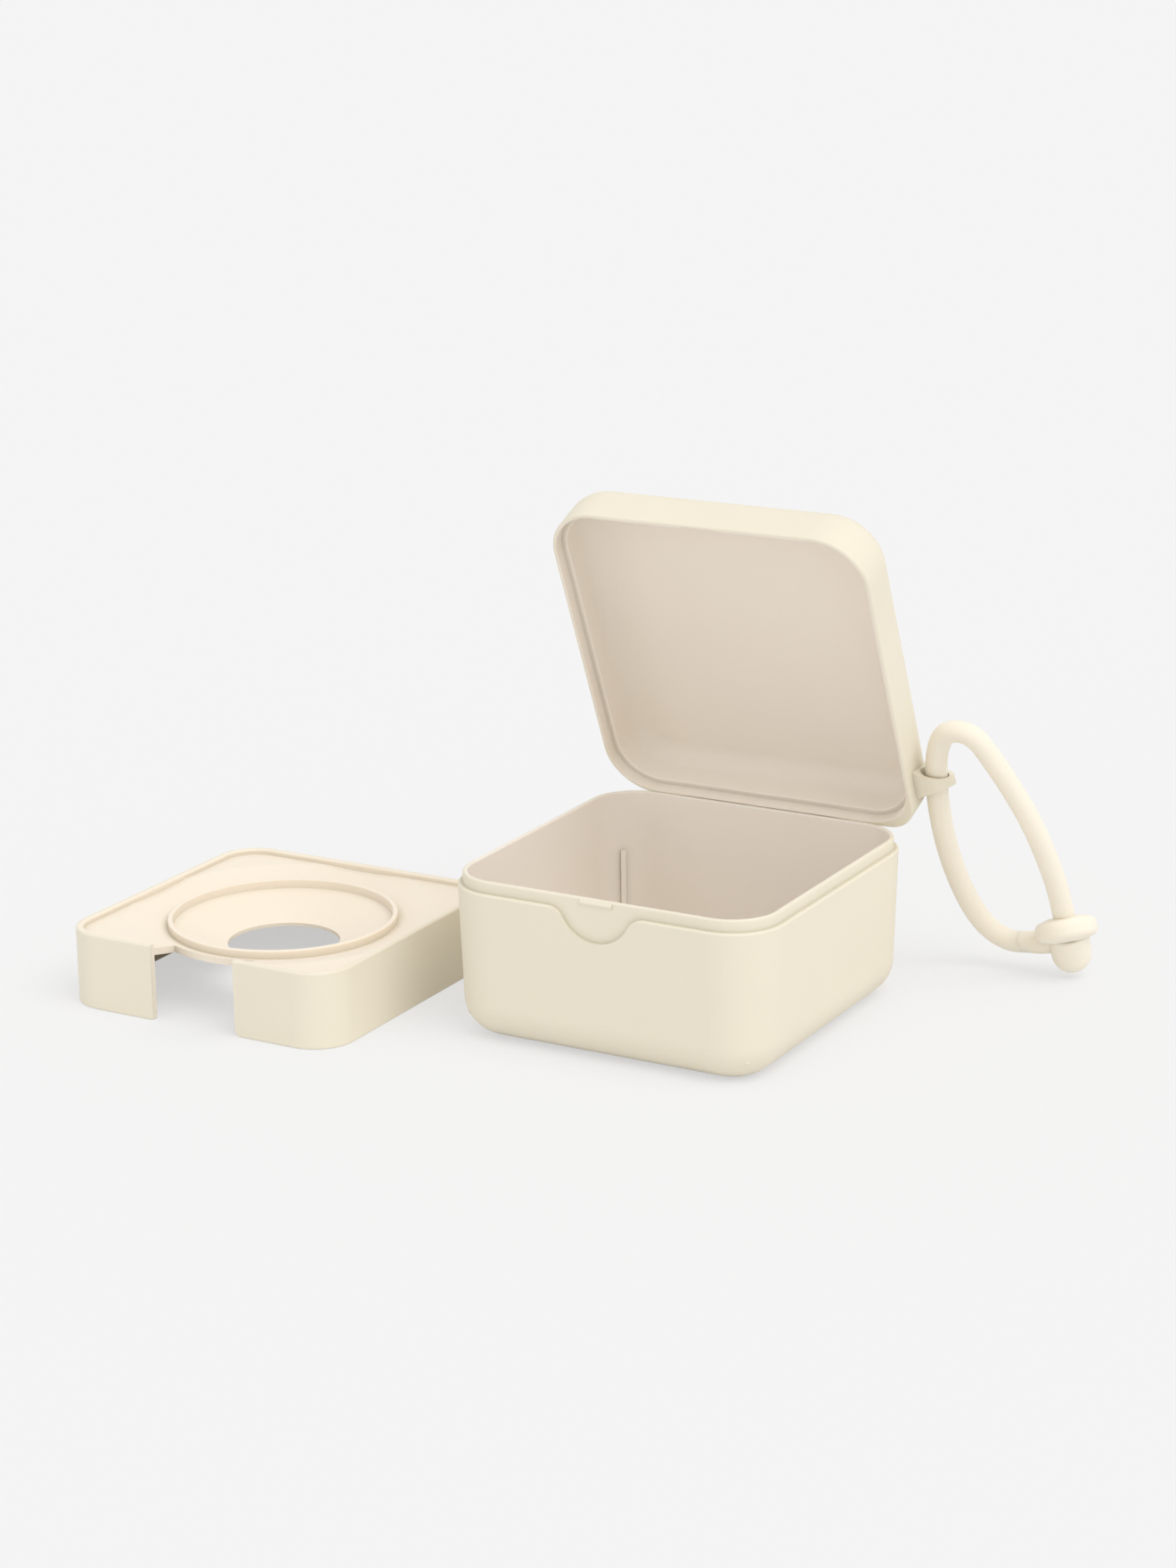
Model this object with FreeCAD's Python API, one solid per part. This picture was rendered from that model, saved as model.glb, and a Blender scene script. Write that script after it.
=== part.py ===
import FreeCAD, Part
import math
import os

Vector = FreeCAD.Vector

# A square case with a hinged lid, a loose tray that stands beside it and a
# looped strap through the lid's eyelet. Millimetres, +Z up, +Y to the hinge.
# The origin is on the table, under the middle of the base.

# Case, outside
case_width = 78.0           # measured at the rim
case_depth = 79.0           # front to back, measured at the rim
case_corner = 12.0          # radius of the upright corners
rim_round = 0.5             # soft edge along the rims
cut_over = 1.0              # how far every cutting tool runs past its face
same_point = 1e-6           # points nearer than this are one point

# Base
base_height = 34.7          # table to the ledge under the lid's rim
base_draft = 1.2            # how much each outside wall leans in at the foot
base_round = 8.8            # outside round between wall and underside
base_inner_draft = 0.3
base_inner_round = 5.5
base_floor = 2.4
ledge_width = 1.1
lip_thickness = 1.1
lip_height = 2.7            # lip that stands up inside the ledge
rib_thickness = 1.2         # one guide rib for the tray in each corner
rib_reach = 0.6
rib_sink = 1.0              # rib inside the wall
rib_top = 23.3

# Thumb scoop and snap nub at the middle of the front
scoop_depth = 7.0           # below the ledge
scoop_radius = 9.2
scoop_shoulder = 4.0
nub_width = 7.8
nub_reach = 0.45
nub_height = 1.5
nub_drop = 0.3              # below the top of the lip

# Lid
lid_depth = 14.0            # rim to the outside of the top
lid_round = 6.5
lid_top = 2.2
lid_inner_round = 4.5
seat_gap = 0.15             # rim over ledge when shut
lip_clearance = 0.15        # beside the lip and the nub
lip_headroom = 0.35         # over the lip
step_round = 0.4

# Hinge behind the case
hinge_back = 1.3            # axis behind the back wall
hinge_up = 0.7              # axis above the ledge
hinge_width = 40.0
hinge_end_knuckle = 9.0     # length of each of the base's two knuckles
knuckle_radius = 1.3
knuckle_gap = 0.3           # between neighbouring knuckles
knuckle_room = 0.15         # round a knuckle, in the other piece's wall
hinge_arm = 7.0             # how far an arm runs along its wall
pin_radius = 0.6
pin_clearance = 0.05
lid_open = 66.7             # degrees from shut, as the lid stands

# Eyelet on the lid's right wall, near the hinge
eyelet_reach = 3.4          # wall to the middle of the hole
eyelet_from_back = 10.2     # hole in front of the back wall's outside
eyelet_rise = 7.3           # hole above the rim's plane on the ledge
eyelet_hole = 3.1
eyelet_wall = 1.2
eyelet_root_front = 2.6     # where it grows out of the wall, in front of the hole's middle
eyelet_root_back = 4.4      # and behind it
eyelet_waist = 3.6
eyelet_tip = 1.8
eyelet_round = 1.6
eyelet_lean = 23.3          # degrees; it is level while the lid stands open
eyelet_sink = 1.8           # root inside the lid's wall
boss_corner = 7.0           # the lid's corner by the eyelet is squarer outside than the others
boss_sink = 0.7             # boss inside the corner's wall
boss_sink_round = 6.0

# Tray
tray_clearance = 0.3        # beside the tray when it is in the base
tray_corner = 9.3
tray_height = 17.7
tray_wall = 1.7
tray_foot_round = 0.4
tray_plate = 1.6            # thickness of the dished plate
tray_edge_drop = 1.2        # plate's outer part below the top edge
dish_radius = 36.0          # where the plate starts to fall towards the collar
dish_drop = 2.3             # from there to the collar
collar_inset = 10.45        # tray's side to the middle of the collar's wall
collar_thickness = 1.1
collar_height = 1.9
funnel_drop = 0.2           # top of the funnel below the plate, inside the collar
hole_radius = 12.9
hole_drop = 4.7             # edge of the hole below the plate at the collar
hole_edge = 0.8             # thickness of the plate at the hole
notch_width = 22.3          # gap in the front wall and the plate
notch_round_left = 0.5      # lower corners of the wall beside the gap
notch_round_right = 1.8
notch_strip = 3.15          # plate left outside the collar's middle
tray_gap = 15.5             # between the base's left side and the tray
tray_front = 23.9           # tray's middle in front of the base's

# Strap: a soft cord, one end an eye, the other a knob pushed through it
cord_diameter = 5.0
cord_bend_share = 0.45      # of the shorter run, from a point to the start of its arc
eye_outside = 7.1           # radius of the flat eye
eye_hole = 3.5
eye_thickness = 3.6
eye_outer_round = 1.6
eye_hole_round = 0.8
eye_tilt = 10.0             # degrees, in the strap's plane
eye_lean = 17.8             # degrees, out of the strap's plane
eye_along = 38.6            # middle of the eye along the route
eye_neck = 3.4              # how far the cord's end runs on into the eye
knob_radius = 4.75
knob_gap = 0.2              # between the knob and the eye
knob_top = 46.0             # middles of the knob's two round ends along the route
knob_foot = 46.3

# The cord's route in the plane through the eyelet's hole, from the eye to the
# knob: outward from the hole, and along it towards the hinge
cord_route = [
    (18.0, 43.0), (14.7, 45.35), (10.6, 45.8), (6.2, 42.9), (3.2, 37.6), (1.0, 30.0),
    (-0.5, 20.5), (-0.8, 9.0), (0.6, -5.0), (3.3, -12.9), (7.2, -15.1), (11.6, -13.9),
    (14.4, -8.9), (18.3, -0.4), (21.8, 8.8), (24.4, 20.0), (25.9, 31.0),
]

case_wall = ledge_width + lip_thickness
case_half = case_width / 2
case_back = case_depth / 2
tray_width = case_width - 2 * (case_wall + base_inner_draft + tray_clearance)
tray_left = case_half + tray_gap + tray_width / 2
collar_radius = tray_width / 2 - collar_inset
cord_radius = cord_diameter / 2
cord_end_out = cord_route[-1][0]    # the last run goes straight into the knob
hinge_axis = Vector(0, case_back + hinge_back, base_height + hinge_up)
lid_rim = base_height + seat_gap
eyelet = Vector(case_half + eyelet_reach, case_back - eyelet_from_back, base_height + eyelet_rise)
upright = Vector(0, 0, 1)
along_x = Vector(1, 0, 0)
along_y = Vector(0, 1, 0)


def outline(corners, place):
    """Closed face of straight lines and corner arcs; each corner is (across, up, round)."""
    flat = [Vector(across, up, 0) for across, up, _ in corners]
    count = len(corners)
    arrivals, middles, departures = [], [], []
    for index, (_, _, radius) in enumerate(corners):
        here = flat[index]
        back = (flat[index - 1] - here).normalize()
        ahead = (flat[(index + 1) % count] - here).normalize()
        half_angle = back.getAngle(ahead) / 2
        reach = radius / math.tan(half_angle)
        inward = (back + ahead).normalize() if radius else Vector()
        arrivals.append(here + back * reach)
        departures.append(here + ahead * reach)
        middles.append(here + inward * (radius / math.sin(half_angle) - radius))
    edges = []
    for index, (_, _, radius) in enumerate(corners):
        start, finish = departures[index - 1], arrivals[index]
        if start.distanceToPoint(finish) > same_point:
            edges.append(Part.LineSegment(place(start), place(finish)).toShape())
        if radius:
            stops = [place(point) for point in (arrivals[index], middles[index], departures[index])]
            edges.append(Part.Arc(*stops).toShape())
    return Part.Face(Part.Wire(edges))


def merged(shapes):
    return shapes[0].fuse(shapes[1:]).removeSplitter()


def wall_round(corners, width, depth, corner):
    """A wall section (inward from the outside, up) carried round a rectangle with round corners."""
    pieces = []
    for across, out, turn in ((width, depth, 0), (depth, width, 90)):
        run = across - 2 * corner
        section = outline(corners, lambda point: Vector(-run / 2, point.x - out / 2, point.y))
        side = section.extrude(Vector(run, 0, 0))
        section.translate(Vector(run, 0, 0))
        bend = section.revolve(Vector(run / 2, corner - out / 2, 0), upright, 90)
        for piece in (side, bend, side.copy(), bend.copy()):
            piece.rotate(Vector(), upright, turn + 180 * (len(pieces) % 4 // 2))
            pieces.append(piece)
    return pieces


def wall_core(width, depth, corner, bottom, top):
    across, along = width - 2 * corner, depth - 2 * corner
    return Part.makeBox(across, along, top - bottom, Vector(-across / 2, -along / 2, bottom))


def barrel(radius, start, finish):
    """A cylinder on the hinge axis."""
    return Part.makeCylinder(radius, finish - start, hinge_axis + Vector(start, 0, 0), along_x)


def knuckle(start, finish, wall_end, wall_level):
    """A hinge barrel with the arm that joins it to a back wall."""
    root = case_back - ledge_width / 2
    arm = [
        (root, wall_level, 0),
        (hinge_axis.y, wall_level, 0),
        (hinge_axis.y + knuckle_radius, hinge_axis.z, 0),
        (root, wall_end, 0),
    ]
    web = outline(arm, lambda point: Vector(start, point.x, point.y))
    return [barrel(knuckle_radius, start, finish), web.extrude(Vector(finish - start, 0, 0))]


def base_knuckles():
    return [(-hinge_width / 2, hinge_end_knuckle - hinge_width / 2),
            (hinge_width / 2 - hinge_end_knuckle, hinge_width / 2)]


def knuckle_relief(start, finish):
    """Room for a knuckle, to be cut from the wall beside it."""
    return barrel(knuckle_radius + knuckle_room, start - knuckle_gap / 2, finish + knuckle_gap / 2)


def opened(shape):
    """Carries a piece of the shut lid to where the lid stands."""
    shape.rotate(hinge_axis, along_x, -lid_open)
    return shape


def base_ribs():
    """Upright guide ribs in the inside corners."""
    face = case_corner - case_wall - base_inner_draft - rib_reach
    foot = base_floor + base_inner_round / 2
    ribs = []
    for side, end, turn in ((1, 1, 45), (-1, 1, 135), (-1, -1, 225), (1, -1, 315)):
        rib = Part.makeBox(rib_reach + rib_sink, rib_thickness, rib_top - foot,
                           Vector(face, -rib_thickness / 2, foot))
        rib.rotate(Vector(), upright, turn)
        rib.translate(Vector(side * (case_half - case_corner), end * (case_back - case_corner), 0))
        ribs.append(rib)
    return ribs


def thumb_scoop():
    """Cuts the ledge away over a rounded dip with soft shoulders."""
    middle = base_height - scoop_depth + scoop_radius
    fall = middle - (base_height - scoop_shoulder)
    spread = math.sqrt((scoop_radius + scoop_shoulder) ** 2 - fall ** 2)
    touch = scoop_radius / (scoop_radius + scoop_shoulder)

    def at(across, up):
        return Vector(across, -case_back - cut_over, up)

    def shoulder(side):
        outer = at(side * spread, base_height)
        inner = at(side * spread * touch, middle - fall * touch)
        bend = (outer + inner) / 2 - at(side * spread, base_height - scoop_shoulder)
        top = at(side * spread, base_height - scoop_shoulder) + bend.normalize() * scoop_shoulder
        return outer, top, inner

    left, right = shoulder(-1), shoulder(1)
    crest = base_height + lip_height + cut_over
    edges = [
        Part.Arc(*left).toShape(),
        Part.Arc(left[2], at(0, base_height - scoop_depth), right[2]).toShape(),
        Part.Arc(*reversed(right)).toShape(),
        Part.LineSegment(right[0], at(spread, crest)).toShape(),
        Part.LineSegment(at(spread, crest), at(-spread, crest)).toShape(),
        Part.LineSegment(at(-spread, crest), left[0]).toShape(),
    ]
    return Part.Face(Part.Wire(edges)).extrude(along_y * (cut_over + ledge_width))


def snap_nub():
    """A small ramp on the outside of the lip that the lid clicks over."""
    face = ledge_width - case_back
    crest = base_height + lip_height - nub_drop
    ramp = [
        (face + lip_thickness / 2, crest, 0),
        (face, crest, 0),
        (face - nub_reach, crest - nub_height / 2, nub_reach),
        (face, crest - nub_height, 0),
        (face + lip_thickness / 2, crest - nub_height, 0),
    ]
    section = outline(ramp, lambda point: Vector(-nub_width / 2, point.x, point.y))
    return section.extrude(Vector(nub_width, 0, 0))


def make_case_base():
    crest = base_height + lip_height
    section = [
        (case_corner, 0, 0),
        (base_draft, 0, base_round),
        (0, base_height, rim_round),
        (ledge_width, base_height, 0),
        (ledge_width, crest, rim_round),
        (case_wall, crest, rim_round),
        (case_wall + base_inner_draft, base_floor, base_inner_round),
        (case_corner, base_floor, 0),
    ]
    shell = wall_round(section, case_width, case_depth, case_corner)
    shell.append(wall_core(case_width, case_depth, case_corner, 0, base_floor))
    tub = merged(shell + base_ribs()).cut(thumb_scoop())
    reach = hinge_width / 2 - hinge_end_knuckle - knuckle_gap
    pieces = [tub.cut(knuckle_relief(-reach, reach)), snap_nub()]
    for start, finish in base_knuckles():
        pieces += knuckle(start, finish, hinge_axis.z - hinge_arm, base_height)
    bore = barrel(pin_radius + pin_clearance, -hinge_width / 2 - cut_over, hinge_width / 2 + cut_over)
    return merged(pieces).cut(bore)


def eyelet_span():
    """Where the leaning eyelet starts along its hole, and how far it runs from there."""
    lean = (eyelet_hole + eyelet_wall) * math.tan(math.radians(eyelet_lean))
    start = eyelet - along_y * (eyelet_root_front + lean)
    return start, eyelet_root_front + eyelet_root_back + 2 * lean


def eyelet_tab():
    """The loop on the lid's wall: a leaning tab that narrows from its root to its tip, round the hole."""
    outside = eyelet_hole + eyelet_wall
    root = case_half - eyelet_sink
    tip = eyelet.x + outside
    start, length = eyelet_span()
    tab = Part.makeBox(eyelet.x - root, length, 2 * outside, start - Vector(eyelet.x - root, 0, outside))
    end = Part.makeCylinder(outside, length, start, along_y)
    plan = [
        (root, eyelet_root_back, 0),
        (case_half, eyelet_root_back, 0),
        (tip, eyelet_tip / 2, eyelet_tip / 4),
        (tip, -eyelet_tip / 2, eyelet_tip / 4),
        (case_half + eyelet_round, -eyelet_waist / 2, eyelet_round),
        (case_half, -eyelet_root_front, 0),
        (root, -eyelet_root_front, 0),
    ]
    blade = outline(plan, lambda point: Vector(point.x, eyelet.y + point.y, eyelet.z - 2 * outside))
    slab = blade.extrude(upright * (4 * outside))
    slab.rotate(eyelet, along_x, -eyelet_lean)
    return tab.fuse(end).common(slab)


def corner_boss():
    """Fills the lid's corner by the eyelet out to a smaller radius."""
    straight = case_corner - boss_corner
    middle = Vector(case_half - boss_corner, case_back - boss_corner, 0)
    section = outline([
        (0, 0, rim_round),
        (0, lid_depth, lid_round),
        (boss_corner, lid_depth, 0),
        (boss_corner, 0, 0),
    ], lambda point: Vector(case_half - point.x, middle.y, lid_rim + point.y))
    bend = section.revolve(middle, upright, 90)
    right = section.extrude(along_y * -straight)
    section.rotate(middle, upright, 90)
    back = section.extrude(along_x * -straight)
    inside = case_corner - boss_sink
    ceiling = lid_depth - boss_sink
    centre = Vector(case_half - case_corner, case_back - case_corner, lid_rim)
    plug = outline([
        (0, -cut_over, 0),
        (inside, -cut_over, 0),
        (inside, ceiling, boss_sink_round),
        (0, ceiling, 0),
    ], lambda point: centre + Vector(point.x, 0, point.y)).revolve(centre, upright, 360)
    return merged([bend, right, back]).cut(plug)


def make_case_lid():
    rim_land = ledge_width - lip_clearance
    step = base_height + lip_height + lip_headroom - lid_rim
    section = [
        (0, 0, rim_round),
        (0, lid_depth, lid_round),
        (case_corner, lid_depth, 0),
        (case_corner, lid_depth - lid_top, 0),
        (case_wall, lid_depth - lid_top, lid_inner_round),
        (case_wall, step, step_round),
        (rim_land, step, 0),
        (rim_land, 0, rim_round / 2),
    ]
    shell = wall_round(section, case_width, case_depth, case_corner)
    shell.append(wall_core(case_width, case_depth, case_corner, lid_depth - lid_top, lid_depth))
    cover = merged(shell)
    cover.translate(upright * lid_rim)
    reach = hinge_width / 2 - hinge_end_knuckle - knuckle_gap
    hinge = knuckle(-reach, reach, hinge_axis.z + hinge_arm, lid_rim)
    whole = merged([cover, corner_boss(), eyelet_tab()] + hinge)
    pocket = Part.makeBox(nub_width + 2 * lip_clearance, nub_reach, step + cut_over,
                          Vector(-nub_width / 2 - lip_clearance,
                                 rim_land - nub_reach - case_back, lid_rim - cut_over))
    start, length = eyelet_span()
    hole = Part.makeCylinder(eyelet_hole, length + 2 * cut_over, start - along_y * cut_over, along_y)
    bore = barrel(pin_radius + pin_clearance, -reach - cut_over, reach + cut_over)
    rooms = [knuckle_relief(*ends) for ends in base_knuckles()]
    return opened(whole.cut([pocket, hole, bore] + rooms))


def make_hinge_pin():
    return barrel(pin_radius, -hinge_width / 2, hinge_width / 2)


def in_front(point):
    """Puts an outline upright, facing the front."""
    return Vector(point.x, -tray_width / 2 - cut_over, point.y)


def turned(corners):
    """A ring about the tray's middle."""
    return outline(corners, lambda point: Vector(point.x, 0, point.y)).revolve(Vector(), upright, 360)


def tray_notch():
    """The gap in the front wall and the plate, as far back as the strip round the collar."""
    half, foot, high = notch_width / 2, -cut_over, tray_height + cut_over
    wide = half + 2 * notch_round_right
    gap = outline([
        (-wide, foot, 0), (-wide, 0, 0), (-half, 0, notch_round_left), (-half, high, 0),
        (half, high, 0), (half, 0, notch_round_right), (wide, 0, 0), (wide, foot, 0),
    ], in_front).extrude(along_y * (tray_width / 2))
    kept = Part.makeCylinder(collar_radius + notch_strip, tray_height + 4 * cut_over, upright * (-2 * cut_over))
    return gap.cut(kept)


def tray_dish():
    """The plate: flat along the sides, falling to the collar and on to the hole."""
    inside = collar_radius - collar_thickness / 2
    outside = collar_radius + collar_thickness / 2
    edge = tray_height - tray_edge_drop
    foot = edge - dish_drop
    far = tray_width - tray_corner
    dish = turned([
        (hole_radius, foot - hole_drop, 0),
        (inside, foot - funnel_drop, 0),
        (inside, foot + collar_height, collar_thickness / 4),
        (outside, foot + collar_height, collar_thickness / 4),
        (outside, foot, 0),
        (dish_radius, edge, 0),
        (far, edge, 0),
        (far, edge - tray_plate, 0),
        (dish_radius, edge - tray_plate, 0),
        (outside, foot - tray_plate, 0),
        (hole_radius, foot - hole_drop - hole_edge, 0),
    ])
    half = (tray_width - tray_wall) / 2
    corner = tray_corner - tray_wall / 2
    square = [(-half, -half, corner), (half, -half, corner), (half, half, corner), (-half, half, corner)]
    return dish.common(outline(square, lambda point: point).extrude(upright * tray_height))


def make_pacifier_tray():
    skirt = wall_round([
        (0, 0, tray_foot_round),
        (0, tray_height, rim_round),
        (tray_wall, tray_height, rim_round),
        (tray_wall, 0, 0),
    ], tray_width, tray_width, tray_corner)
    tray = merged(skirt + [tray_dish()]).cut(tray_notch())
    tray.translate(Vector(-tray_left, -tray_front, 0))
    return tray


def strap_point(out, along):
    """A point of the strap's plane, with the lid shut."""
    return eyelet + Vector(out, along, 0)


def knob_neck():
    """Where the cord meets the knob's flat top."""
    return knob_top - math.sqrt(knob_radius ** 2 - cord_radius ** 2)


def strap_points():
    return [strap_point(*point) for point in cord_route + [(cord_end_out, knob_neck())]]


def cord_path(points):
    """Straight runs joined by arcs as large as the runs allow; gives the edges and the radii."""
    runs = [points[index + 1] - points[index] for index in range(len(points) - 1)]
    edges, radii, start = [], [], points[0]
    for index in range(1, len(points) - 1):
        before, after = runs[index - 1], runs[index]
        reach = cord_bend_share * min(before.Length, after.Length)
        back, ahead = before * (-1 / before.Length), after * (1 / after.Length)
        half_turn = (math.pi - back.getAngle(ahead)) / 2
        radius = reach / math.tan(half_turn)
        inward = (back + ahead).normalize()
        crown = points[index] + inward * (radius / math.cos(half_turn) - radius)
        entry, leave = points[index] + back * reach, points[index] + ahead * reach
        edges.append(Part.LineSegment(start, entry).toShape())
        edges.append(Part.Arc(entry, crown, leave).toShape())
        radii.append(radius)
        start = leave
    edges.append(Part.LineSegment(start, points[-1]).toShape())
    return edges, radii


def make_strap_cord():
    points = strap_points()
    edges, radii = cord_path(points)
    path = Part.Wire(edges)
    circle = Part.Circle(points[0], (points[1] - points[0]).normalize(), cord_radius)
    cord = path.makePipeShell([Part.Wire(circle.toShape())], True, False)
    print("cord radii", [round(radius, 1) for radius in radii])
    print("cord length", round(path.Length, 2), "volume against section times length",
          round(cord.Volume / (math.pi * cord_radius ** 2 * path.Length), 5))
    return opened(cord)


def make_strap_ring():
    """The flat eye at the cord's first end, with the short neck that the cord grows from."""
    points = strap_points()
    middle = strap_point(cord_end_out, eye_along)
    half = eye_thickness / 2
    section = outline([
        (eye_hole, -half, eye_hole_round),
        (eye_outside, -half, eye_outer_round),
        (eye_outside, half, eye_outer_round),
        (eye_hole, half, eye_hole_round),
    ], lambda point: middle + Vector(point.x, point.y, 0))
    eye = section.revolve(middle, along_y, 360)
    hole = Part.makeCylinder(eye_hole, eye_outside, middle - along_y * (eye_outside / 2), along_y)
    for piece in (eye, hole):
        piece.rotate(middle, along_x, -eye_lean)
        piece.rotate(middle, upright, -eye_tilt)
    growing = (points[0] - points[1]).normalize()
    neck = Part.makeCylinder(cord_radius, eye_neck, points[0], growing)
    room = Part.makeSphere(knob_radius + knob_gap, strap_point(cord_end_out, knob_top))
    return opened(eye.fuse(neck.cut([hole, room])).removeSplitter())


def make_strap_knob():
    top, foot = strap_point(cord_end_out, knob_top), strap_point(cord_end_out, knob_foot)
    knob = merged([
        Part.makeSphere(knob_radius, top),
        Part.makeCylinder(knob_radius, knob_foot - knob_top, top, along_y),
        Part.makeSphere(knob_radius, foot),
    ])
    corner = strap_point(cord_end_out - knob_radius, knob_neck() - knob_radius) - upright * knob_radius
    trim = Part.makeBox(2 * knob_radius, knob_radius, 2 * knob_radius, corner)
    return opened(knob.cut(trim))


pieces = {
    "case_base": make_case_base,
    "case_lid": make_case_lid,
    "hinge_pin": make_hinge_pin,
    "pacifier_tray": make_pacifier_tray,
    "strap_cord": make_strap_cord,
    "strap_ring": make_strap_ring,
    "strap_knob": make_strap_knob,
}

os.makedirs("parts", exist_ok=True)
for name, make in pieces.items():
    shape = make()
    box = shape.BoundBox
    print(name, "solids", len(shape.Solids), "valid", shape.isValid(), "volume", round(shape.Volume, 1),
          "from", [round(v, 2) for v in (box.XMin, box.YMin, box.ZMin)],
          "to", [round(v, 2) for v in (box.XMax, box.YMax, box.ZMax)])
    shape.exportStep("parts/" + name + ".step")
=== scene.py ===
import bmesh
import bpy
import math
from mathutils import Matrix, Vector


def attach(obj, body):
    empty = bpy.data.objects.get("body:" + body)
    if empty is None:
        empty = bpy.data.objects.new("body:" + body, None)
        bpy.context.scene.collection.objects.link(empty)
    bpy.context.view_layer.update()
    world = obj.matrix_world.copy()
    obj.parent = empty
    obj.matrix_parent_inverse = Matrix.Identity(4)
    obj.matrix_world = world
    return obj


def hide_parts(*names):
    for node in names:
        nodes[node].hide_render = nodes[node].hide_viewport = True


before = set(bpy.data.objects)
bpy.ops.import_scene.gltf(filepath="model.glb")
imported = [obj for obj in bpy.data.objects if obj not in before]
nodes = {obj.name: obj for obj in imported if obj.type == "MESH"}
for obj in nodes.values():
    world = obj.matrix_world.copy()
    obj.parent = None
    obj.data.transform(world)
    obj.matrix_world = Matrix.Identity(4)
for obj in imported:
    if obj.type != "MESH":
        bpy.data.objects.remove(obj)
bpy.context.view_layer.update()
print("frame loaded:", len(nodes), "nodes")

# lengths in the settings are millimetres
mm = 0.001
sameSpot = 0.0001       # points nearer than this are one
white = (1, 1, 1, 1)


def placed(point):
    return Vector(point) * mm


# camera, fitted to the view of the photo
cameraSet = {
    "place": (352.6, -660.2, 274.4),
    "azimuth": 29.662,
    "elevation": 16.47,
    "roll": -0.778,
    "lens": 81.517,         # for a 36 mm high frame
    "frameHeight": 36.0,
    "farthest": 50000.0,
}


def addCamera(s):
    az, el, roll = (math.radians(s[k]) for k in ("azimuth", "elevation", "roll"))
    back = Vector((math.sin(az) * math.cos(el), -math.cos(az) * math.cos(el), math.sin(el)))
    right = Vector((math.cos(az), math.sin(az), 0))
    up = back.cross(right)
    turnedRight = right * math.cos(roll) + up * math.sin(roll)
    turnedUp = up * math.cos(roll) - right * math.sin(roll)
    data = bpy.data.cameras.new("camera")
    data.sensor_fit = "VERTICAL"
    data.sensor_height = s["frameHeight"]
    data.lens = s["lens"]
    data.clip_end = s["farthest"] * mm
    camera = bpy.data.objects.new("camera", data)
    axes = Matrix((turnedRight, turnedUp, back)).transposed().to_4x4()
    camera.matrix_world = Matrix.Translation(placed(s["place"])) @ axes
    bpy.context.scene.collection.objects.link(camera)
    bpy.context.scene.camera = camera


addCamera(cameraSet)
print("camera set")


# finishes
def newFinish(name):
    material = bpy.data.materials.new(name)
    material.use_nodes = True
    return material, material.node_tree, material.node_tree.nodes["Principled BSDF"]


def addNoise(tree, scale, detail):
    noise = tree.nodes.new("ShaderNodeTexNoise")
    noise.inputs["Scale"].default_value = scale
    noise.inputs["Detail"].default_value = detail
    place = tree.nodes.new("ShaderNodeTexCoord")
    tree.links.new(place.outputs["Object"], noise.inputs["Vector"])
    return noise.outputs["Fac"]


# nearly all of a noise lies between these
noiseSpan = (0.3, 0.7)


def addRange(tree, source, low, high):
    spread = tree.nodes.new("ShaderNodeMapRange")
    for name, value in zip(("From Min", "From Max", "To Min", "To Max"), (*noiseSpan, low, high)):
        spread.inputs[name].default_value = value
    tree.links.new(source, spread.inputs["Value"])
    return spread.outputs["Result"]


def addMath(tree, operation, *values):
    step = tree.nodes.new("ShaderNodeMath")
    step.operation = operation
    for socket, value in zip(step.inputs, values):
        if isinstance(value, float):
            socket.default_value = value
        else:
            tree.links.new(value, socket)
    return step.outputs[0]


# mask for the painted inside light: 1 inside a box with rounded corners, 0 outside it, with a soft edge;
# the piece is first turned back about its hinge where the box is drawn for it shut
def addBoxMask(tree, s):
    place = tree.nodes.new("ShaderNodeTexCoord").outputs["Object"]
    if s.get("turn"):
        turn = tree.nodes.new("ShaderNodeVectorRotate")
        turn.rotation_type = "X_AXIS"
        turn.inputs["Center"].default_value = placed(s["hinge"])
        turn.inputs["Angle"].default_value = math.radians(s["turn"])
        tree.links.new(place, turn.inputs["Vector"])
        place = turn.outputs["Vector"]
    for operation, amount in (("SUBTRACT", s["middle"]), ("ABSOLUTE", None), ("SUBTRACT", s["half"])):
        step = tree.nodes.new("ShaderNodeVectorMath")
        step.operation = operation
        tree.links.new(place, step.inputs[0])
        if amount:
            step.inputs[1].default_value = placed(amount)
        place = step.outputs["Vector"]
    parts = tree.nodes.new("ShaderNodeSeparateXYZ")
    tree.links.new(place, parts.inputs["Vector"])
    most = parts.outputs["X"]
    for name, rounding in zip("YZ", s["rounding"]):
        most = addMath(tree, "SMOOTH_MAX", most, parts.outputs[name], rounding * mm)
    edge = tree.nodes.new("ShaderNodeMapRange")
    edge.interpolation_type = "SMOOTHSTEP"
    edge.inputs["From Min"].default_value = -s["edge"] * mm
    edge.inputs["From Max"].default_value = s["edge"] * mm
    edge.inputs["To Min"].default_value = 1.0
    edge.inputs["To Max"].default_value = 0.0
    tree.links.new(most, edge.inputs["Value"])
    return edge.outputs["Result"]


def addMix(tree, factor, first, second, blend="MIX"):
    mix = tree.nodes.new("ShaderNodeMix")
    mix.data_type = "RGBA"
    mix.blend_type = blend
    tree.links.new(factor, mix.inputs["Factor"])
    if isinstance(first, tuple):
        mix.inputs["A"].default_value = first + (1,)
    else:
        tree.links.new(first, mix.inputs["A"])
    mix.inputs["B"].default_value = second + (1,)
    return mix.outputs["Result"]
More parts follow.
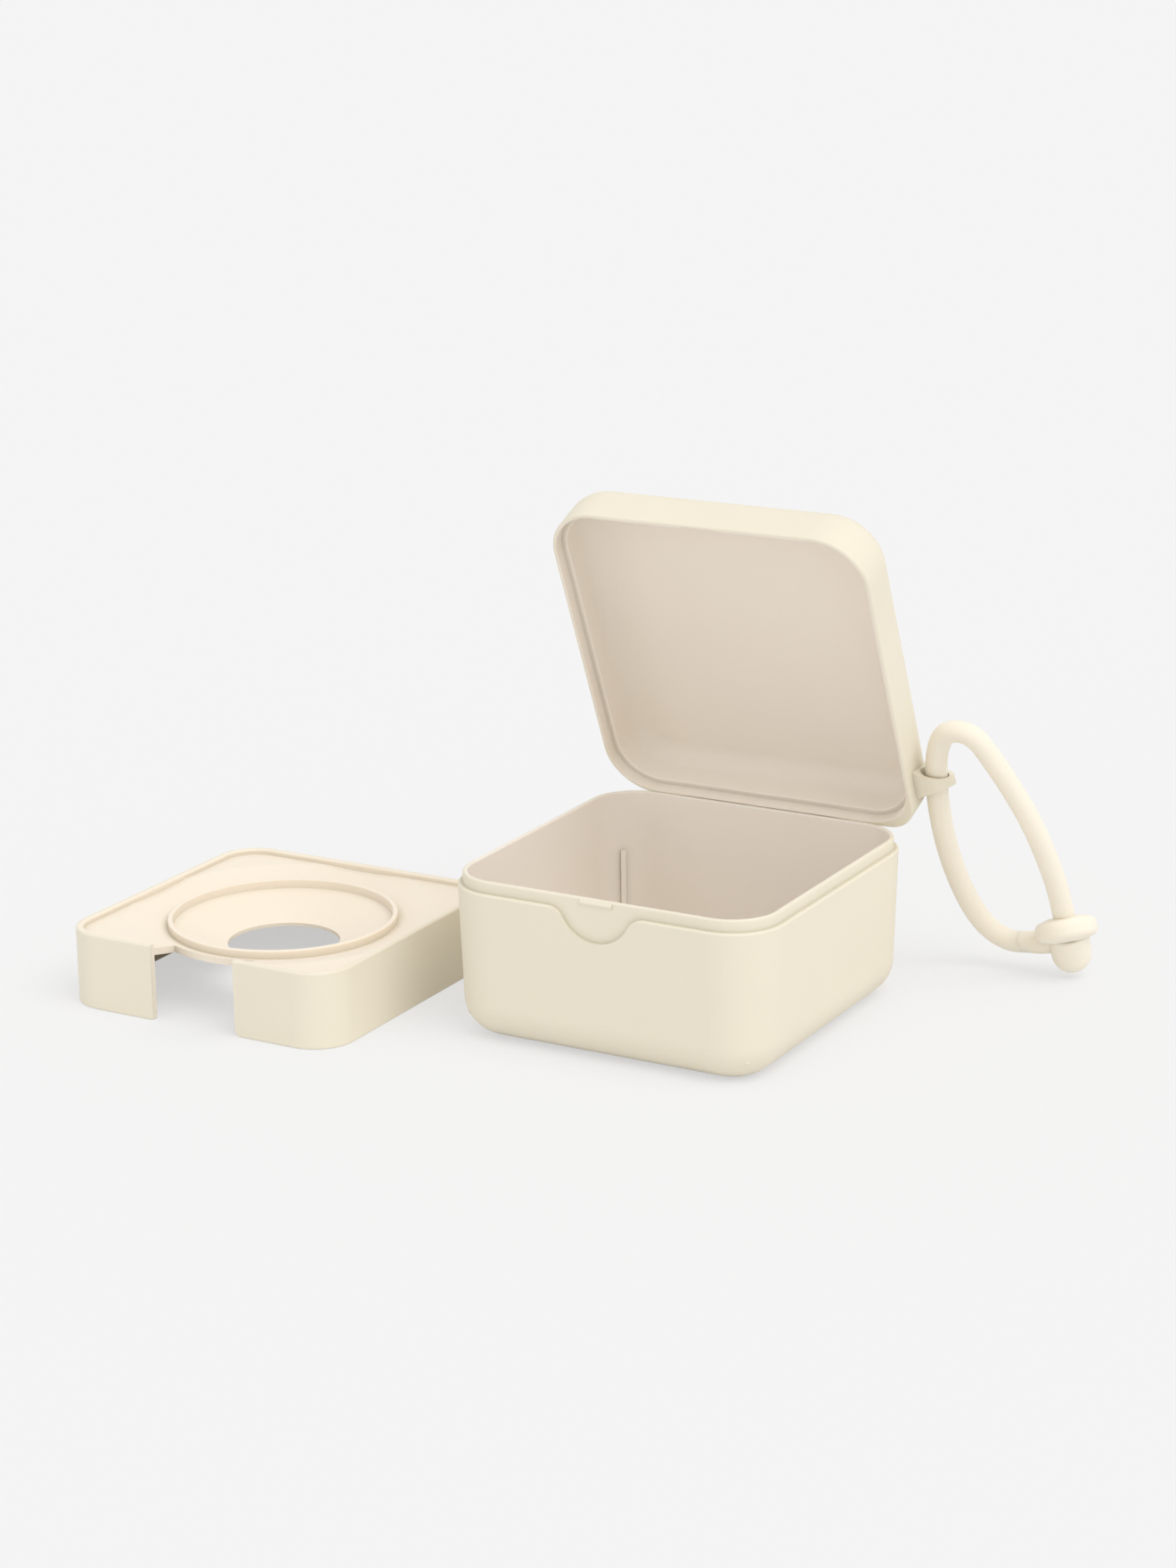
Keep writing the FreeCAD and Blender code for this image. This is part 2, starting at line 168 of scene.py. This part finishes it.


# painted shade: 1 deep in a narrow corner, 0 in the open, used to darken the colour where shade falls
def addPaintedCornerShade(tree, s):
    shelter = tree.nodes.new("ShaderNodeAmbientOcclusion")
    shelter.only_local = True
    shelter.samples = s["paintedShadeSamples"]
    shelter.inputs["Distance"].default_value = s["paintedShadeReach"] * mm
    return addMath(tree, "SUBTRACT", 1.0, shelter.outputs["AO"])


# a moulded surface: a fine grain in the light, slow drifts of tone and gloss, a little light that passes
# into it, painted shade that darkens its corners and creases, and, where a box is given, painted light
# inside it
def mouldedFinish(name, s, inside=None):
    material, tree, shader = newFinish(name)
    grain = addNoise(tree, s["grainScale"], s["grainDetail"])
    drift = addNoise(tree, s["driftScale"], s["driftDetail"])
    colour = addMix(tree, addRange(tree, drift, 0.0, 1.0), s["colour"], s["shade"])
    if inside:
        # painted light: the colour made lighter and cooler inside the box
        colour = addMix(tree, addBoxMask(tree, inside), colour, inside["paintedLightTint"], "MULTIPLY")
    # painted shade: the colour darkened in corners and creases
    colour = addMix(tree, addPaintedCornerShade(tree, s), colour, s["paintedCornerShade"], "MULTIPLY")
    tree.links.new(colour, shader.inputs["Base Color"])
    tree.links.new(addRange(tree, grain, *s["roughness"]), shader.inputs["Roughness"])
    bump = tree.nodes.new("ShaderNodeBump")
    bump.inputs["Strength"].default_value = s["grain"]
    bump.inputs["Distance"].default_value = s["grainDepth"] * mm
    tree.links.new(grain, bump.inputs["Height"])
    tree.links.new(bump.outputs["Normal"], shader.inputs["Normal"])
    shader.inputs["IOR"].default_value = s["ior"]
    shader.inputs["Specular IOR Level"].default_value = s["sheen"]
    shader.inputs["Subsurface Weight"].default_value = s["depth"]
    shader.inputs["Subsurface Radius"].default_value = s["depthColour"]
    shader.inputs["Subsurface Scale"].default_value = s["depthReach"] * mm
    return material


plasticSet = {
    "colour": (0.805, 0.745, 0.610), "shade": (0.79, 0.73, 0.596),
    "roughness": (0.50, 0.62), "ior": 1.49, "sheen": 0.22,
    "grainScale": 2600.0, "grainDetail": 3.0, "grain": 0.10, "grainDepth": 0.02,
    "driftScale": 28.0, "driftDetail": 2.0,
    "depth": 0.10, "depthColour": (1.0, 0.85, 0.75), "depthReach": 0.8,
    # painted shade in corners and creases:
    "paintedShadeReach": 2.0, "paintedCornerShade": (0.70, 0.71, 0.68), "paintedShadeSamples": 8,
}
siliconeSet = {
    "colour": (0.872, 0.810, 0.690), "shade": (0.860, 0.798, 0.677),
    "roughness": (0.60, 0.72), "ior": 1.41, "sheen": 0.22,
    "grainScale": 1500.0, "grainDetail": 3.0, "grain": 0.12, "grainDepth": 0.02,
    "driftScale": 60.0, "driftDetail": 2.0,
    "depth": 0.35, "depthColour": (1.0, 0.85, 0.75), "depthReach": 2.0,
    # painted shade in corners and creases:
    "paintedShadeReach": 1.5, "paintedCornerShade": (0.75, 0.75, 0.72), "paintedShadeSamples": 8,
}
pinSet = dict(plasticSet, roughness=(0.30, 0.38), grain=0.04)

# painted light: the plastic's colour is made a little lighter and cooler inside the mouldings and on the
# tray's plate, standing in for light there; a rounding is six times as long as the step it takes off the
# box's corner
paintedInsideLightBase = {
    "middle": (0, 0, 31.2), "half": (37.4, 37.9, 30.0), "rounding": (18.0, 13.4), "edge": 0.3,
    "paintedLightTint": (1.05, 1.05, 1.155),
}
paintedInsideLightLid = {
    "middle": (0, 0, 33.0), "half": (38.55, 39.05, 14.75), "rounding": (20.2, 11.5), "edge": 0.3,
    "paintedLightTint": (1.10, 1.09, 1.18), "hinge": (0, 40.8, 35.4), "turn": 66.7,
}
paintedInsideLightTray = {
    "middle": (-90.7, -23.9, 12.0), "half": (35.3, 35.3, 9.6), "rounding": (12.8, 0.0), "edge": 0.3,
    "paintedLightTint": (1.08, 1.045, 1.07),
}

silicone = mouldedFinish("strapSilicone", siliconeSet)
caseFinishes = {
    "case_base": mouldedFinish("basePlastic", plasticSet, paintedInsideLightBase),
    "case_lid": mouldedFinish("lidPlastic", plasticSet, paintedInsideLightLid),
    "pacifier_tray": mouldedFinish("trayPlastic", plasticSet, paintedInsideLightTray),
    "hinge_pin": mouldedFinish("pinPlastic", pinSet),
}
for name, material in caseFinishes.items():
    nodes[name].data.materials.clear()
    nodes[name].data.materials.append(material)
print("finishes set")


def addPiece(name, data, material, slot, body, *replaced):
    data.materials.append(material)
    piece = bpy.data.objects.new(name, data)
    bpy.context.scene.collection.objects.link(piece)
    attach(piece, body)
    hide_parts(*replaced)
    return piece


# strap: its points lie in the plane through the eyelet's hole, out from the
# hole and along it, down towards the knob
strapSet = {
    "eyelet": (42.4, 42.313, 48.573),
    "along": (0, 0.395546, -0.918446),
    "thick": 5.0,
    "tubeLength": 137.46,
    "steps": 12, "sides": 8,        # how finely the tube is cut along and round
    "route": [
        (18.4, 44.9), (14.7, 45.5), (10.6, 45.8), (6.2, 42.9), (3.2, 37.6), (1.0, 30.0),
        (-0.5, 20.5), (-0.8, 9.0), (0.6, -5.0), (3.3, -12.9), (7.2, -15.1), (11.6, -13.9),
        (14.4, -8.9), (18.3, -0.4), (21.8, 8.8), (24.4, 20.0), (25.9, 31.0), (25.9, 41.96),
    ],
}


def strapPoint(out, along):
    return placed(strapSet["eyelet"]) + Vector((out, 0, 0)) * mm + Vector(strapSet["along"]) * along * mm


def strapCurve(s):
    curve = bpy.data.curves.new("strapCord", "CURVE")
    curve.dimensions = "3D"
    spline = curve.splines.new("NURBS")
    spline.points.add(len(s["route"]) - 1)
    for point, (out, along) in zip(spline.points, s["route"]):
        point.co = (*strapPoint(out, along), 1)
    spline.order_u = 3
    spline.use_endpoint_u = True
    spline.resolution_u = s["steps"]
    curve.bevel_depth = s["thick"] / 2 * mm
    curve.bevel_resolution = s["sides"]
    curve.use_fill_caps = True
    return curve


def newMesh(name, points, faces):
    mesh = bpy.data.meshes.new(name)
    mesh.from_pydata(points, [], faces)
    return mesh


# a profile turned about an axis through a middle; a closed one makes a ring
def turned(profile, middle, axis, count, closed):
    axis = Vector(axis).normalized()
    side = axis.orthogonal().normalized()
    front = axis.cross(side)
    points, faces = [], []
    for step in range(count):
        angle = 2 * math.pi * step / count
        out = side * math.cos(angle) + front * math.sin(angle)
        points += [middle + (out * radius + axis * rise) * mm for radius, rise in profile]
    size = len(profile)
    for step in range(count):
        here, beyond = step * size, (step + 1) % count * size
        for index in range(size if closed else size - 1):
            ahead = (index + 1) % size
            faces.append((here + index, beyond + index, beyond + ahead, here + ahead))
    return points, faces


def weldPoles(mesh):
    shape = bmesh.new()
    shape.from_mesh(mesh)
    bmesh.ops.remove_doubles(shape, verts=shape.verts, dist=sameSpot * mm)
    shape.to_mesh(mesh)
    shape.free()


def roundedSection(corners, steps):
    points = []
    for index, (x, y, radius) in enumerate(corners):
        here = Vector((x, y))
        back = (Vector(corners[index - 1][:2]) - here).normalized()
        ahead = (Vector(corners[(index + 1) % len(corners)][:2]) - here).normalized()
        middle = here + (back + ahead) * radius
        start, finish = -ahead, -back
        for step in range(steps + 1):
            share = step / steps * math.pi / 2
            points.append(tuple(middle + (start * math.cos(share) + finish * math.sin(share)) * radius))
    return points


# eye: a flat soft ring, with the cord's end growing out of its underside
eyeSet = {
    "middle": (25.9, 39.5),
    "axis": (-0.307, 0.227, 0.924),
    "outside": 7.1, "hole": 2.6,
    "edgeHalf": 1.9, "hubHalf": 3.2,       # thickness at the edge and at the hole
    "outerRound": 1.2, "holeRound": 1.0,
    "neck": [(13.6, 45.5), (16.0, 45.2), (18.5, 44.9), (21.0, 44.3), (23.0, 43.4)],
    "neckRadii": (2.45, 2.55, 2.65, 2.65, 2.3),
    "sides": 72, "cornerSteps": 6, "neckSides": 32,
    "voxel": 0.22, "smooth": 11,
}


def neckTube(s):
    sides = s["neckSides"]
    line = [strapPoint(*point) for point in s["neck"]]
    across = Vector((1, 0, 0)).cross(Vector(strapSet["along"]))
    points, faces = [], []
    for index, here in enumerate(line):
        before, after = line[max(index - 1, 0)], line[min(index + 1, len(line) - 1)]
        run = (after - before).normalized()
        side = run.cross(across)
        for step in range(sides):
            angle = 2 * math.pi * step / sides
            spoke = across * math.cos(angle) + side * math.sin(angle)
            points.append(here + spoke * s["neckRadii"][index] * mm)
    for ring in range(len(line) - 1):
        for step in range(sides):
            ahead = (step + 1) % sides
            low, high = ring * sides, (ring + 1) * sides
            faces.append((low + step, low + ahead, high + ahead, high + step))
    faces.append(tuple(reversed(range(sides))))
    faces.append(tuple((len(line) - 1) * sides + step for step in range(sides)))
    return points, faces


def eyeMesh(s):
    section = roundedSection([
        (s["hole"], -s["hubHalf"], s["holeRound"]), (s["outside"], -s["edgeHalf"], s["outerRound"]),
        (s["outside"], s["edgeHalf"], s["outerRound"]), (s["hole"], s["hubHalf"], s["holeRound"]),
    ], s["cornerSteps"])
    points, faces = turned(section, strapPoint(*s["middle"]), s["axis"], s["sides"], True)
    neckPoints, neckFaces = neckTube(s)
    faces += [tuple(len(points) + corner for corner in face) for face in neckFaces]
    return newMesh("strapEye", points + neckPoints, faces)


# melts the neck into the ring
def soften(piece, s):
    remesh = piece.modifiers.new("blend", "REMESH")
    remesh.mode = "VOXEL"
    remesh.voxel_size = s["voxel"] * mm
    remesh.use_smooth_shade = True
    smooth = piece.modifiers.new("smooth", "SMOOTH")
    smooth.iterations = s["smooth"]


# knob: a button with a round foot, pushed up against the eye
knobSet = {
    "out": 26.25, "top": 40.2, "foot": 46.4, "radius": 4.6, "shoulder": 0.9,
    "sides": 64, "shoulderSteps": 6, "footSteps": 16,
}


def knobProfile(s):
    length, radius, shoulder = s["foot"] - s["top"], s["radius"], s["shoulder"]
    profile = [(0.0, 0.0)]
    for step in range(s["shoulderSteps"] + 1):
        angle = step / s["shoulderSteps"] * math.pi / 2
        profile.append((radius - shoulder * (1 - math.sin(angle)), shoulder * (1 - math.cos(angle))))
    for step in range(s["footSteps"] + 1):
        angle = step / s["footSteps"] * math.pi / 2
        profile.append((radius * math.cos(angle), length + radius * math.sin(angle)))
    return profile


def knobMesh(s):
    top = strapPoint(s["out"], s["top"])
    mesh = newMesh("strapKnob", *turned(knobProfile(s), top, strapSet["along"], s["sides"], False))
    weldPoles(mesh)
    mesh.shade_smooth()
    return mesh


cord = addPiece("strapCord", strapCurve(strapSet), silicone, "strap_silicone", "strap", "strap_cord")
eye = addPiece("strapEye", eyeMesh(eyeSet), silicone, "strap_silicone", "strap", "strap_ring")
soften(eye, eyeSet)
knob = addPiece("strapKnob", knobMesh(knobSet), silicone, "strap_silicone", "strap", "strap_knob")
print("strap made")

# light and floor
lightSet = {
    "sky": 0.826,
    "backdrop": 0.913,
    "key": 1.20, "keyFrom": (0.56, -0.18, 0.81), "keySpread": 45.0,
    "fill": 0.33, "fillFrom": (-0.35, -0.93, -0.05), "fillSpread": 60.0,
    "floorTone": 0.85, "floorRoughness": 1.0, "floorSheen": 0.0,
    "floorSize": 14000.0,
    "floorGlow": 0.62,      # share of the floor's seen tone that no shadow reaches
    "floorSeen": 0.870,
}


def addLight(s):
    world = bpy.data.worlds.new("studio")
    bpy.context.scene.world = world
    world.use_nodes = True
    tree = world.node_tree
    tree.nodes.clear()
    path = tree.nodes.new("ShaderNodeLightPath")
    mix = tree.nodes.new("ShaderNodeMixShader")
    out = tree.nodes.new("ShaderNodeOutputWorld")
    tree.links.new(path.outputs["Is Camera Ray"], mix.inputs["Fac"])
    for socket, name in zip(mix.inputs[1:], ("sky", "backdrop")):
        glow = tree.nodes.new("ShaderNodeBackground")
        glow.inputs["Color"].default_value = white
        glow.inputs["Strength"].default_value = s[name]
        tree.links.new(glow.outputs[0], socket)
    tree.links.new(mix.outputs[0], out.inputs["Surface"])
    for name in ("key", "fill"):
        data = bpy.data.lights.new(name, "SUN")
        data.energy = s[name]
        data.angle = math.radians(s[name + "Spread"])
        lamp = bpy.data.objects.new(name, data)
        lamp.rotation_euler = Vector(s[name + "From"]).to_track_quat("Z", "Y").to_euler()
        bpy.context.scene.collection.objects.link(lamp)


# what the camera sees of the floor is part glow, which keeps its shadows pale
def floorPaint(s):
    paint, tree, shader = newFinish("floorPaint")
    shader.inputs["Base Color"].default_value = (s["floorTone"],) * 3 + (1,)
    shader.inputs["Roughness"].default_value = s["floorRoughness"]
    shader.inputs["Specular IOR Level"].default_value = s["floorSheen"]
    glow = tree.nodes.new("ShaderNodeEmission")
    glow.inputs["Color"].default_value = white
    glow.inputs["Strength"].default_value = s["floorSeen"]
    path = tree.nodes.new("ShaderNodeLightPath")
    seen = path.outputs["Is Camera Ray"]
    for more in ("Is Glossy Ray", "Is Transmission Ray"):
        seen = addMath(tree, "MAXIMUM", seen, path.outputs[more])
    mix = tree.nodes.new("ShaderNodeMixShader")
    tree.links.new(addMath(tree, "MULTIPLY", seen, s["floorGlow"]), mix.inputs["Fac"])
    tree.links.new(shader.outputs[0], mix.inputs[1])
    tree.links.new(glow.outputs[0], mix.inputs[2])
    tree.links.new(mix.outputs[0], tree.nodes["Material Output"].inputs["Surface"])
    return paint


def addFloor(s):
    half = s["floorSize"] / 2 * mm
    corners = [(-half, -half, 0), (half, -half, 0), (half, half, 0), (-half, half, 0)]
    mesh = newMesh("floor", corners, [(0, 1, 2, 3)])
    floor = bpy.data.objects.new("floor", mesh)
    bpy.context.scene.collection.objects.link(floor)
    mesh.materials.append(floorPaint(s))


addLight(lightSet)
addFloor(lightSet)
bpy.context.scene.view_settings.view_transform = "Standard"
print("light and floor set")
